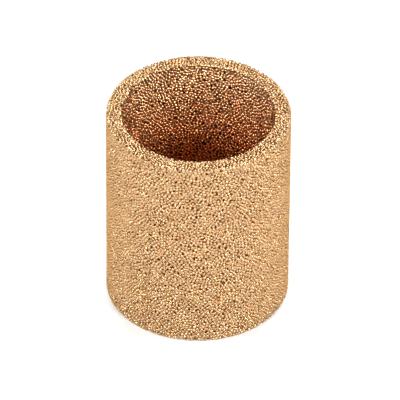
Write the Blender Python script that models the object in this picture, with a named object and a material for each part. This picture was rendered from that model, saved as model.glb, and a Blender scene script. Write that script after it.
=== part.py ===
"""Press-in pneumatic muffler: one thimble of sintered bronze, open at the top and closed at the bottom.

The whole object is a single body of revolution about +Z. It stands on its closed end, with its
origin at the centre of the base. Compressed air enters the open mouth and leaves through the porous
wall and floor. All lengths are in metres.
"""

import math

import bmesh
import bpy

# Driving dimensions
OUTER_DIAMETER = 0.0300
WALL_THICKNESS = 0.0027
HEIGHT = 0.0358
FLOOR_THICKNESS = 0.0030

# Radii of the rounded edges
RIM_OUTER_ROUND = 0.0003
RIM_INNER_ROUND = 0.0003
BASE_ROUND = 0.0006
BORE_CORNER_ROUND = 0.0010

# Fineness of the turned mesh
TURN_STEPS = 96
ROUND_STEPS = 4

# Sintered bronze
BRONZE_COLOUR = (0.60, 0.37, 0.17, 1.0)
BRONZE_ROUGHNESS = 0.45
BRONZE_METALLIC = 0.9

OUTER_RADIUS = OUTER_DIAMETER / 2
BORE_RADIUS = OUTER_RADIUS - WALL_THICKNESS
SHARP_ANGLE = math.radians(40)
AXIS_TOLERANCE = 1e-7


def clear_scene():
    """Remove whatever the scene already holds."""
    for existing in list(bpy.data.objects):
        bpy.data.objects.remove(existing, do_unlink=True)


def round_corner(centre_r, centre_z, radius, start_degrees, end_degrees):
    """Points (r, z) of a quarter round about a centre, from one angle to another."""
    points = []
    for step in range(ROUND_STEPS + 1):
        share = step / ROUND_STEPS
        angle = math.radians(start_degrees + share * (end_degrees - start_degrees))
        points.append((centre_r + radius * math.cos(angle), centre_z + radius * math.sin(angle)))
    return points


def cup_profile():
    """Half section of the cup, from the middle of the floor, over the rim, to the middle of the base."""
    profile = [(0.0, FLOOR_THICKNESS)]
    profile += round_corner(
        BORE_RADIUS - BORE_CORNER_ROUND, FLOOR_THICKNESS + BORE_CORNER_ROUND, BORE_CORNER_ROUND, -90, 0
    )
    profile += round_corner(BORE_RADIUS + RIM_INNER_ROUND, HEIGHT - RIM_INNER_ROUND, RIM_INNER_ROUND, 180, 90)
    profile += round_corner(OUTER_RADIUS - RIM_OUTER_ROUND, HEIGHT - RIM_OUTER_ROUND, RIM_OUTER_ROUND, 90, 0)
    profile += round_corner(OUTER_RADIUS - BASE_ROUND, BASE_ROUND, BASE_ROUND, 0, -90)
    profile.append((0.0, 0.0))
    return profile


def turned_mesh(name, profile):
    """Spin a half section once round +Z into a closed mesh."""
    bm = bmesh.new()
    verts = [bm.verts.new((r, 0.0, z)) for r, z in profile]
    edges = [bm.edges.new(pair) for pair in zip(verts, verts[1:])]
    bmesh.ops.spin(
        bm,
        geom=verts + edges,
        cent=(0.0, 0.0, 0.0),
        axis=(0.0, 0.0, 1.0),
        angle=2 * math.pi,
        steps=TURN_STEPS,
        use_merge=True,
    )
    bmesh.ops.remove_doubles(bm, verts=bm.verts, dist=AXIS_TOLERANCE)
    bmesh.ops.recalc_face_normals(bm, faces=bm.faces)
    mesh = bpy.data.meshes.new(name)
    bm.to_mesh(mesh)
    bm.free()
    mesh.shade_smooth()
    mesh.set_sharp_from_angle(angle=SHARP_ANGLE)
    return mesh


def bronze_material():
    """Golden tan sintered bronze."""
    material = bpy.data.materials.new("sintered_bronze")
    material.use_nodes = True
    shader = material.node_tree.nodes["Principled BSDF"]
    shader.inputs["Base Color"].default_value = BRONZE_COLOUR
    shader.inputs["Roughness"].default_value = BRONZE_ROUGHNESS
    shader.inputs["Metallic"].default_value = BRONZE_METALLIC
    return material


def build_sintered_cup():
    """The muffler's only piece: wall, rim and floor sintered together."""
    mesh = turned_mesh("sintered_cup", cup_profile())
    mesh.materials.append(bronze_material())
    cup = bpy.data.objects.new("sintered_cup", mesh)
    bpy.context.scene.collection.objects.link(cup)
    return cup


clear_scene()
build_sintered_cup()
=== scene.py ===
import itertools
import math

import bpy
import numpy as np
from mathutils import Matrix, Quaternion, Vector


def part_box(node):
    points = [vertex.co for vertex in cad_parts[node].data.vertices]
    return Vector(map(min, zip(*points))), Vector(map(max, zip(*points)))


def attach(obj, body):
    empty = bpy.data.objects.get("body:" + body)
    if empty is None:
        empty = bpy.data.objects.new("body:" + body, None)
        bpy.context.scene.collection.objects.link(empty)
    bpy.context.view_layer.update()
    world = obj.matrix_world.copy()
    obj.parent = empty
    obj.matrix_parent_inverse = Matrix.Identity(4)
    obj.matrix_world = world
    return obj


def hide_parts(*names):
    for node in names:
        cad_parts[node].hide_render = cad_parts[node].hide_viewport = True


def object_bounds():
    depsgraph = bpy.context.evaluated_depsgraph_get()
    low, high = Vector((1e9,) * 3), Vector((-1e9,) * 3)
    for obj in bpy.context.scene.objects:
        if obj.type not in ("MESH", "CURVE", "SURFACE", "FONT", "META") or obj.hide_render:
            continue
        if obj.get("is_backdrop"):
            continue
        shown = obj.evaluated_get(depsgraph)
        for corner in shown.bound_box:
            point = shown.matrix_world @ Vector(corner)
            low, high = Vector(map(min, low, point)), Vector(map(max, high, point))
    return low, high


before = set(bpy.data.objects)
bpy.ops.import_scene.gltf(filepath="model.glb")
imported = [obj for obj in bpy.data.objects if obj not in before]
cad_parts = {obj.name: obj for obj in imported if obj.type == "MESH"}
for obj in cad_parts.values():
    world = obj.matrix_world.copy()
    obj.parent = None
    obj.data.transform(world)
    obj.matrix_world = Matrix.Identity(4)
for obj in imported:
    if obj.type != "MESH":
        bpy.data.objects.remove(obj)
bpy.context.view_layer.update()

# The muffler is one cup of sintered bronze granules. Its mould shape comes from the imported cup. Skins
# of granules settle against that shape and are bonded, and the modelled surface is one closed mesh:
# a ray goes inwards from each point of the mould's wall until it meets them. Lengths are in metres.

NODE = "sintered_cup"
SEED = 7

# Granules: mean diameter, and how much one of them may differ
GRANULE = 0.00057
SIZE_SPREAD = 0.14
SIZE_LIMITS = (0.7, 1.3)

# Skins: depth of each one's highest face, share of its area covered, how far granules sink below that
# face and how far the mould presses into them, as shares of a granule
SKIN_DEPTHS = (0.0, 0.00034)
COVERAGE = 0.86
TOP_SINK = 0.14
PRESSED = 0.015

# Settling: granules start on an even lattice, scattered by a share of a granule, and push each other
GOLDEN_ANGLE = math.pi * (3 - math.sqrt(5))
SCATTER = 0.30
SETTLING_ROUNDS = 36
ROUNDS_PER_SEARCH = 6
NEIGHBOUR_REACH = 2.3
PUSH = 0.45

# Bonds between granules, and the deepest pit that is modelled
NECK = 0.000018
NECK_FADE = 4 * NECK
PIT_DEPTH = 0.00065

# Rounded edges of the mould
EDGE_ROUND = 0.00026
BORE_CORNER = 0.0010

# Fineness of the modelled surface: spacing of vertices round a ring, of rings, and of points on the
# mould's half section, and the fewest vertices in a ring near the axis
MESH_STEP = 0.000085
ROW_STEP = MESH_STEP * math.sqrt(0.75)
PROFILE_STEP = 0.00002
SMALLEST_RING = 6

# Rays: steps that each one takes inwards, and how much more of a ring than its own radius a granule may
# reach, since rings curve
MARCH_STEPS = 12
CURVE_MARGIN = 1.35

# UV map: share left free at its edges, and its width in turns, since the last triangles of a ring reach
# slightly past one turn
UV_MARGIN = 0.004
UV_SEAM = 1.001

# Small values that keep a division and a logarithm away from zero
NO_DISTANCE = 1e-9
NO_WEIGHT = 1e-12

# Bronze: the tops of the granules, with painted light on those just inside the mouth and painted shade on
# those deeper in the bore, their edges seen at a glance, and painted shade in the pits between them
WALL_TOPS = ((0.52, 0.345, 0.18, 1.0), (0.62, 0.44, 0.265, 1.0))
MOUTH_LIT_TOPS = (0.95, 0.63, 0.36, 1.0)
# Painted light: the tops just inside the mouth are lighter than the wall's. Painted shade: deeper in the bore
# they turn darker and redder
BORE_SHADED_TOPS = (0.78, 0.36, 0.15, 1.0)
GLANCING = (0.70, 0.35, 0.12, 1.0)
# Painted shade: the pits between granules are coloured dark, on the wall and darker still in the bore
WALL_PIT_SHADE = (0.30, 0.135, 0.04, 1.0)
BORE_PIT_SHADE = (0.10, 0.028, 0.006, 1.0)
PIT_SHADE_SHARES = (0.06, 0.42)
ROUGHNESS = 0.2

# Painted shade darkens and browns the bore over this depth, and the bore's colours, painted light on the tops
# and painted shade in the pits, take over from the wall's within the first share of it
BORE_SHADE_DEPTH = 0.015
MOUTH_SHARE = 0.10

# Camera: a long lens looking down into the mouth
CAMERA_ELEVATION = math.radians(39.5)
CAMERA_DISTANCE = 1.014
CAMERA_ROLL = math.radians(0.44)
CAMERA_LENS = 560.4
CAMERA_SENSOR = 36.0
CAMERA_CLIP_END = 10.0
CAMERA_OFFSET = (0.00033, -0.00030)

# Studio: name, place, width and height, and power of each soft lamp, all aimed at the cup's middle
LAMPS = (
    ("left_high", (-0.50, -0.50, 0.55), (0.12, 0.12), 1.8),
    ("left_low", (-0.60, -0.60, 0.30), (0.3, 0.3), 1.5),
    ("right_high", (0.50, -0.50, 0.55), (0.12, 0.12), 2.0),
    ("right_low", (0.60, -0.60, 0.30), (0.3, 0.3), 1.7),
    ("left_side", (-0.60, -0.10, 0.50), (0.12, 0.12), 1.8),
    ("right_side", (0.60, -0.10, 0.50), (0.12, 0.12), 1.8),
    ("front_key", (0.05, -0.75, 0.48), (0.12, 0.12), 2.5),
    ("back_top", (0.05, 0.45, 0.80), (0.5, 0.3), 7.0),
)
LAMP_TARGET = Vector((0, 0, 0.02))
WORLD_LIGHT = 0.21
FLOOR_COLOUR = (0.93, 0.93, 0.93, 1.0)
FLOOR_ROUGHNESS = 0.9
FLOOR_HALF = 6.0
FLOOR_GAP = 0.00002


def cad_sizes():
    """Outer radius, bore radius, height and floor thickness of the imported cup."""
    low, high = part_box(NODE)
    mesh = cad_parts[NODE].data
    co = np.empty(len(mesh.vertices) * 3)
    mesh.vertices.foreach_get("co", co)
    co = co.reshape(-1, 3)
    radius = np.hypot(co[:, 0], co[:, 1])
    upper = co[:, 2] > (low.z + high.z) / 2
    bore = radius[upper].min()
    inside = (radius < bore - GRANULE / 10) & (co[:, 2] > low.z + GRANULE)
    floor = co[inside, 2].min()
    return high.x, float(bore), high.z, float(floor)


class Profile:
    """Half section of the mould, from the middle of the base, over the rim, to the middle of the floor."""

    def __init__(self, outer, bore, height, floor):
        runs = [
            self.line((0, 0), (outer - EDGE_ROUND, 0)),
            self.arc((outer - EDGE_ROUND, EDGE_ROUND), EDGE_ROUND, -90, 0),
            self.line((outer, EDGE_ROUND), (outer, height - EDGE_ROUND)),
            self.arc((outer - EDGE_ROUND, height - EDGE_ROUND), EDGE_ROUND, 0, 90),
            self.line((outer - EDGE_ROUND, height), (bore + EDGE_ROUND, height)),
            self.arc((bore + EDGE_ROUND, height - EDGE_ROUND), EDGE_ROUND, 90, 180),
            self.line((bore, height - EDGE_ROUND), (bore, floor + BORE_CORNER)),
            self.arc((bore - BORE_CORNER, floor + BORE_CORNER), BORE_CORNER, 0, -90),
            self.line((bore - BORE_CORNER, floor), (0, floor)),
        ]
        points = np.concatenate(runs)
        apart = np.hypot(*np.diff(points, axis=0).T)
        points = points[np.concatenate([[True], apart > PROFILE_STEP / 10])]
        self.along = np.concatenate([[0.0], np.cumsum(np.hypot(*np.diff(points, axis=0).T))])
        self.length = self.along[-1]
        self.top = height
        self.mouth = self.along[np.flatnonzero(np.isclose(points[:, 1], height)).max()]
        tangent = np.gradient(points, self.along, axis=0)
        tangent /= np.hypot(*tangent.T)[:, None]
        self.samples = np.column_stack([points, tangent])

    @staticmethod
    def line(start, end):
        """Evenly spaced points from start to end."""
        count = max(2, round(math.dist(start, end) / PROFILE_STEP))
        return np.linspace(start, end, count)

    @staticmethod
    def arc(centre, radius, start_degrees, end_degrees):
        """Evenly spaced points on a quarter circle."""
        count = max(2, round(radius * math.pi / 2 / PROFILE_STEP))
        angle = np.radians(np.linspace(start_degrees, end_degrees, count))
        return np.column_stack([centre[0] + radius * np.cos(angle), centre[1] + radius * np.sin(angle)])

    def at(self, along):
        """(radius, height), tangent and outward normal in the half section at each distance along it."""
        rows = np.column_stack([np.interp(along, self.along, column) for column in self.samples.T])
        tangent = rows[:, 2:] / np.hypot(*rows[:, 2:].T)[:, None]
        normal = np.column_stack([tangent[:, 1], -tangent[:, 0]])
        return rows[:, :2], tangent, normal


def turned(section, angle):
    """Half-section vectors (radial, axial) turned round +Z to each angle."""
    return np.column_stack([section[:, 0] * np.cos(angle), section[:, 0] * np.sin(angle), section[:, 1]])


def near_pairs(points, reach):
    """Each pair of points nearer than reach, once, as two index arrays. Cubic cells keep the search short."""
    cell = (points / reach).astype(np.int64)
    cell -= cell.min(axis=0) - 1
    span = cell.max(axis=0) + 2
    home = (cell[:, 0] * span[1] + cell[:, 1]) * span[2] + cell[:, 2]
    order = np.argsort(home, kind="stable")
    sorted_home = home[order]
    pairs = []
    for dx, dy in itertools.product((-1, 0, 1), repeat=2):
        column = home + (dx * span[1] + dy) * span[2]
        first = np.searchsorted(sorted_home, column - 1, "left")
        last = np.searchsorted(sorted_home, column + 1, "right")
        for step in range(int((last - first).max())):
            mine = np.flatnonzero(first + step < last)
            theirs = order[first[mine] + step]
            once = mine < theirs
            mine, theirs = mine[once], theirs[once]
            gap = points[mine] - points[theirs]
            close = np.einsum("ij,ij->i", gap, gap) < reach * reach
            pairs.append((mine[close], theirs[close]))
    return [np.concatenate(side) for side in zip(*pairs)]


def scattered_skin(profile, depth, rng):
    """Granules spread evenly over the mould's wall: distances along, angles, centre depths and radii."""
    section, _, normal = profile.at(profile.along)
    path = section - normal * (depth + GRANULE / 2)
    step = np.concatenate([[0.0], np.hypot(*np.diff(path, axis=0).T)])
    area = np.cumsum(2 * math.pi * np.clip(path[:, 0], 0, None) * step)
    count = round(COVERAGE * area[-1] / (math.pi * (GRANULE / 2) ** 2))
    radius = GRANULE / 2 * np.clip(rng.normal(1.0, SIZE_SPREAD, count), *SIZE_LIMITS)
    below = depth + GRANULE * (TOP_SINK * rng.random(count) ** 2 - PRESSED) + radius
    share = (np.arange(count) + 0.5) / count
    along = np.interp(share * area[-1], area, profile.along) + SCATTER * GRANULE * rng.normal(size=count)
    along = np.clip(along, 0, profile.length)
    ring = np.maximum(np.interp(along, profile.along, path[:, 0]), GRANULE)
    angle = np.arange(count) * GOLDEN_ANGLE + SCATTER * GRANULE * rng.normal(size=count) / ring
    return along, angle, below, radius


def pushes(centres, radius, mine, theirs):
    """How each granule is pushed by the ones that it overlaps."""
    gap = centres[mine] - centres[theirs]
    distance = np.sqrt(np.einsum("ij,ij->i", gap, gap)) + NO_DISTANCE
    overlap = np.clip(radius[mine] + radius[theirs] - distance, 0, None)
    move = gap * (PUSH * overlap / distance)[:, None]
    count = len(radius)
    return np.column_stack([np.bincount(mine, m, count) - np.bincount(theirs, m, count) for m in move.T])


def settle_skin(profile, depth, rng):
    """One skin of granules that have pushed each other into place.

    Gives their distances along the profile, angles, centres and radii.
    """
    along, angle, below, radius = scattered_skin(profile, depth, rng)
    for settling in range(SETTLING_ROUNDS):
        section, tangent, normal = profile.at(along)
        centres = turned(section - normal * below[:, None], angle)
        if settling % ROUNDS_PER_SEARCH == 0:
            mine, theirs = near_pairs(centres, NEIGHBOUR_REACH * radius.max())
        push = pushes(centres, radius, mine, theirs)
        sideways = np.einsum("ij,ij->i", push, turned(tangent, angle))
        around = push[:, 1] * np.cos(angle) - push[:, 0] * np.sin(angle)
        along = np.clip(along + sideways, 0, profile.length)
        angle = angle + around / np.maximum(np.hypot(centres[:, 0], centres[:, 1]), GRANULE / 4)
    section, _, normal = profile.at(along)
    return along, angle % (2 * math.pi), turned(section - normal * below[:, None], angle), radius


def settled_granules(profile, rng):
    """The granules of all skins in order along the profile: distances along, angles, centres and radii."""
    skins = [settle_skin(profile, depth, rng) for depth in SKIN_DEPTHS]
    parts = [np.concatenate(part) for part in zip(*skins)]
    order = np.argsort(parts[0], kind="stable")
    return [part[order] for part in parts]


def surface_rings(profile):
    """Rings of vertices over the whole profile: distance along it, and how many vertices go round."""
    rows = max(2, round(profile.length / ROW_STEP))
    along = np.linspace(0.0, profile.length, rows + 1)
    radius = np.clip(profile.at(along)[0][:, 0], 0, None)
    count = np.maximum(np.round(2 * math.pi * radius / MESH_STEP).astype(int), SMALLEST_RING)
    count[0] = count[-1] = 1
    return along, count


def rays_and_granules(start, direction, odd, granules):
    """Each ray of a ring with each granule that it may meet.

    Gives both numbers, how far in the granule's centre is, and its squared distance from the ray.
    """
    angle, centres, radii, _ = granules
    count = len(start)
    half = math.ceil(CURVE_MARGIN * GRANULE / 2 * SIZE_LIMITS[1] / MESH_STEP)
    if 2 * half + 1 < count:
        nearest = np.round(angle / (2 * math.pi) * count - odd / 2).astype(int)
        ray = (nearest[:, None] + np.arange(-half, half + 1)) % count
    else:
        ray = np.broadcast_to(np.arange(count), (len(angle), count))
    who = np.repeat(np.arange(len(angle)), ray.shape[1])
    ray = ray.ravel()
    gap = start[ray] - centres[who]
    deep = np.einsum("ij,ij->i", gap, direction[ray])
    aside = np.einsum("ij,ij->i", gap, gap) - deep**2
    near = aside < (radii[who] + NECK_FADE) ** 2
    return ray[near], who[near], deep[near], aside[near]


def ring_depths(start, direction, odd, granules):
    """How far each ray of a ring goes in before it meets the bonded granules, and which one it meets."""
    _, _, radii, numbers = granules
    ray, who, deep, aside = rays_and_granules(start, direction, odd, granules)
    travel = np.zeros(len(start))
    for _ in range(MARCH_STEPS):
        distance = np.sqrt(aside + (deep - travel[ray]) ** 2) - radii[who]
        weight = np.bincount(ray, np.exp(-distance / NECK), len(start))
        travel = np.clip(travel - NECK * np.log(weight + NO_WEIGHT), 0, PIT_DEPTH)
    owner = np.zeros(len(start), int)
    order = np.argsort(-distance, kind="stable")
    owner[ray[order]] = numbers[who[order]]
    return travel, owner


def granulated_surface(profile, granules, along, count):
    """Vertices of all rings, how deep each one lies in the mould's wall, and which granule it is on."""
    foot, bearing, centres, radii = granules
    numbers = np.arange(len(foot))
    section, _, normal = profile.at(along)
    window = GRANULE * SIZE_LIMITS[1] / 2 + EDGE_ROUND * math.pi / 2
    rings = []
    for k in range(len(count)):
        odd = k % 2
        angle = 2 * math.pi * (np.arange(count[k]) + odd / 2) / count[k]
        start = turned(np.repeat(section[k : k + 1], count[k], axis=0), angle)
        direction = turned(np.repeat(normal[k : k + 1], count[k], axis=0), angle)
        near = slice(*np.searchsorted(foot, [along[k] - window, along[k] + window]))
        nearby = (bearing[near], centres[near], radii[near], numbers[near])
        travel, owner = ring_depths(start, direction, odd, nearby)
        rings.append((start - direction * travel[:, None], travel, owner))
    return [np.concatenate(part) for part in zip(*rings)]


def turns_round(index, ring):
    """Where a ring's vertices are, in turns. Every second ring is shifted by half a step."""
    _, count, odd = ring
    return (index + odd / 2) / count


def stitch(ring_a, ring_b):
    """Triangles between two rings, one on each edge of both, and where each corner is, in turns.

    A ring is its first vertex, its count and whether it is shifted. Whole numbers keep the order exact.
    """
    first_a, count_a, odd_a = ring_a
    first_b, count_b, odd_b = ring_b
    triangles = []
    turns = []
    if count_a > 1:
        i = np.arange(count_a)
        j = ((2 * i + 1 + odd_a) * count_b - (1 + odd_b) * count_a) // (2 * count_a) + 1
        triangles.append(np.column_stack([first_a + i, first_a + (i + 1) % count_a, first_b + j % count_b]))
        corners = [turns_round(i, ring_a), turns_round(i + 1, ring_a), turns_round(j, ring_b)]
        turns.append(np.column_stack(corners))
    if count_b > 1:
        j = np.arange(count_b)
        i = -((-((2 * j + 1 + odd_b) * count_a - (1 + odd_a) * count_b)) // (2 * count_b))
        triangles.append(np.column_stack([first_a + i % count_a, first_b + (j + 1) % count_b, first_b + j]))
        corners = [turns_round(i, ring_a), turns_round(j + 1, ring_b), turns_round(j, ring_b)]
        turns.append(np.column_stack(corners))
    return np.concatenate(triangles), np.concatenate(turns)


def surface_triangles(count):
    """Triangles between all neighbouring rings, and where each corner is, in turns."""
    first = np.concatenate([[0], np.cumsum(count)])
    rings = [(first[k], count[k], k % 2) for k in range(len(count))]
    strips = [stitch(ring_a, ring_b) for ring_a, ring_b in zip(rings, rings[1:])]
    return [np.concatenate(part) for part in zip(*strips)]


def new_mesh(name, co, triangles):
    """A smooth mesh of triangles."""
    mesh = bpy.data.meshes.new(name)
    mesh.vertices.add(len(co))
    mesh.vertices.foreach_set("co", co.astype(np.float32).ravel())
    mesh.loops.add(triangles.size)
    mesh.loops.foreach_set("vertex_index", triangles.astype(np.int32).ravel())
    mesh.polygons.add(len(triangles))
    mesh.polygons.foreach_set("loop_start", np.arange(0, triangles.size, 3, dtype=np.int32))
    mesh.update(calc_edges=True)
    mesh.shade_smooth()
    return mesh


def add_unrolled_map(mesh, turns, height):
    """UV map of the surface unrolled: turns round the axis against the share of the profile."""
    uv = mesh.uv_layers.new(name="OFBake")
    unrolled = np.column_stack([turns.ravel() / UV_SEAM, height])
    uv.data.foreach_set("uv", (UV_MARGIN + (1 - 2 * UV_MARGIN) * unrolled).astype(np.float32).ravel())


def add_values(mesh, name, values):
    """A number on each vertex that the material reads."""
    layer = mesh.attributes.new(name, "FLOAT", "POINT")
    layer.data.foreach_set("value", values.astype(np.float32))


def sintered_body():
    """The whole cup with its granulated surface, as one closed mesh."""
    rng = np.random.default_rng(SEED)
    profile = Profile(*cad_sizes())
    granules = settled_granules(profile, rng)
    along, count = surface_rings(profile)
    co, travel, owner = granulated_surface(profile, granules, along, count)
    triangles, turns = surface_triangles(count)
    mesh = new_mesh("sintered_bronze_body", co, triangles)
    along = np.repeat(along, count)
    add_unrolled_map(mesh, turns, along[triangles.ravel()] / profile.length)
    add_values(mesh, "pit_depth", travel / PIT_DEPTH)
    add_values(mesh, "granule_tint", rng.random(len(granules[0]))[owner])
    add_values(mesh, "bore_depth", np.where(along > profile.mouth, profile.top - co[:, 2], 0.0) / BORE_SHADE_DEPTH)
    body = bpy.data.objects.new(mesh.name, mesh)
    bpy.context.scene.collection.objects.link(body)
    return body


def vertex_value(nodes, name):
    """Output that reads a number off the vertices."""
    node = nodes.new("ShaderNodeAttribute")
    node.attribute_name = name
    return node.outputs["Fac"]


def share_between(nodes, links, value, start, end):
    """How far a value has gone from start to end, held between 0 and 1."""
    node = nodes.new("ShaderNodeMapRange")
    node.inputs["From Min"].default_value = start
    node.inputs["From Max"].default_value = end
    links.new(value, node.inputs["Value"])
    return node.outputs["Result"]


def mix_colour(nodes, links, factor, a, b):
    """Mix of two colours, each given as a colour or as another node's output."""
    node = nodes.new("ShaderNodeMix")
    node.data_type = "RGBA"
    links.new(factor, node.inputs["Factor"])
    for key, value in (("A", a), ("B", b)):
        socket = next(s for s in node.inputs if s.name == key and s.type == "RGBA")
        if isinstance(value, tuple):
            socket.default_value = value
        else:
            links.new(value, socket)
    return next(s for s in node.outputs if s.type == "RGBA")


def bronze():
    """Shiny granules of slightly different tints, with painted light on their tops just inside the mouth,
    painted shade that darkens and browns them deeper in the bore, and painted shade in the pits between them.
    """
    material = bpy.data.materials.new("sintered_bronze")
    material.use_nodes = True
    nodes = material.node_tree.nodes
    links = material.node_tree.links
    bore_depth = vertex_value(nodes, "bore_depth")
    in_bore = share_between(nodes, links, bore_depth, 0.0, MOUTH_SHARE)
    # Painted shade: vertices lying deeper in the pits between granules are coloured darker
    pit_shade_mask = share_between(nodes, links, vertex_value(nodes, "pit_depth"), *PIT_SHADE_SHARES)
    wall = mix_colour(nodes, links, vertex_value(nodes, "granule_tint"), *WALL_TOPS)
    # Painted light: the tops just inside the mouth are made lighter than those on the wall
    tops = mix_colour(nodes, links, in_bore, wall, MOUTH_LIT_TOPS)
    # Painted shade: the tops darken and redden with depth in the bore
    tops = mix_colour(nodes, links, bore_depth, tops, BORE_SHADED_TOPS)
    pits = mix_colour(nodes, links, in_bore, WALL_PIT_SHADE, BORE_PIT_SHADE)
    shader = nodes["Principled BSDF"]
    links.new(mix_colour(nodes, links, pit_shade_mask, tops, pits), shader.inputs["Base Color"])
    shader.inputs["Metallic"].default_value = 1.0
    shader.inputs["Roughness"].default_value = ROUGHNESS
    shader.inputs["Specular Tint"].default_value = GLANCING
    return material


def lamp(name, location, size, power):
    """A soft rectangular lamp aimed at the cup."""
    data = bpy.data.lights.new(name, "AREA")
    data.shape = "RECTANGLE"
    data.size, data.size_y = size
    data.energy = power
    light = bpy.data.objects.new(name, data)
    light.location = location
    light.rotation_mode = "QUATERNION"
    light.rotation_quaternion = (LAMP_TARGET - light.location).to_track_quat("-Z", "Y")
    bpy.context.scene.collection.objects.link(light)


def floor():
    """A plain pale floor just under the cup."""
    corners = [(x * FLOOR_HALF, y * FLOOR_HALF, 0) for x, y in ((-1, -1), (1, -1), (1, 1), (-1, 1))]
    mesh = bpy.data.meshes.new("floor")
    mesh.from_pydata(corners, [], [(0, 1, 2, 3)])
    material = bpy.data.materials.new("floor")
    material.use_nodes = True
    shader = material.node_tree.nodes["Principled BSDF"]
    shader.inputs["Base Color"].default_value = FLOOR_COLOUR
    shader.inputs["Roughness"].default_value = FLOOR_ROUGHNESS
    mesh.materials.append(material)
    plane = bpy.data.objects.new("floor", mesh)
    plane.location.z = -FLOOR_GAP
    bpy.context.scene.collection.objects.link(plane)
    plane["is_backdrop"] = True


def studio():
    """White surroundings, the floor and the lamps."""
    scene = bpy.context.scene
    scene.view_settings.view_transform = "Standard"
    scene.world = bpy.data.worlds.new("studio")
    scene.world.use_nodes = True
    background = scene.world.node_tree.nodes["Background"]
    background.inputs["Color"].default_value = (1.0, 1.0, 1.0, 1.0)
    background.inputs["Strength"].default_value = WORLD_LIGHT
    floor()
    for name, location, size, power in LAMPS:
        lamp(name, location, size, power)


def camera():
    """The camera, aimed at the middle of the cup's box and shifted a little in its own plane."""
    low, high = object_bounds()
    data = bpy.data.cameras.new("camera")
    data.lens = CAMERA_LENS
    data.sensor_width = CAMERA_SENSOR
    data.clip_end = CAMERA_CLIP_END
    back = Vector((0, -math.cos(CAMERA_ELEVATION), math.sin(CAMERA_ELEVATION)))
    turn = (-back).to_track_quat("-Z", "Y")
    right = turn @ Vector((1, 0, 0))
    up = turn @ Vector((0, 1, 0))
    view = bpy.data.objects.new("camera", data)
    shift = right * CAMERA_OFFSET[0] + up * CAMERA_OFFSET[1]
    view.location = (low + high) / 2 + back * CAMERA_DISTANCE + shift
    view.rotation_mode = "QUATERNION"
    view.rotation_quaternion = turn @ Quaternion((0, 0, 1), CAMERA_ROLL)
    bpy.context.scene.collection.objects.link(view)
    bpy.context.scene.camera = view


camera()
body = sintered_body()
body.data.materials.append(bronze())
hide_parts(NODE)
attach(body, "root")
studio()
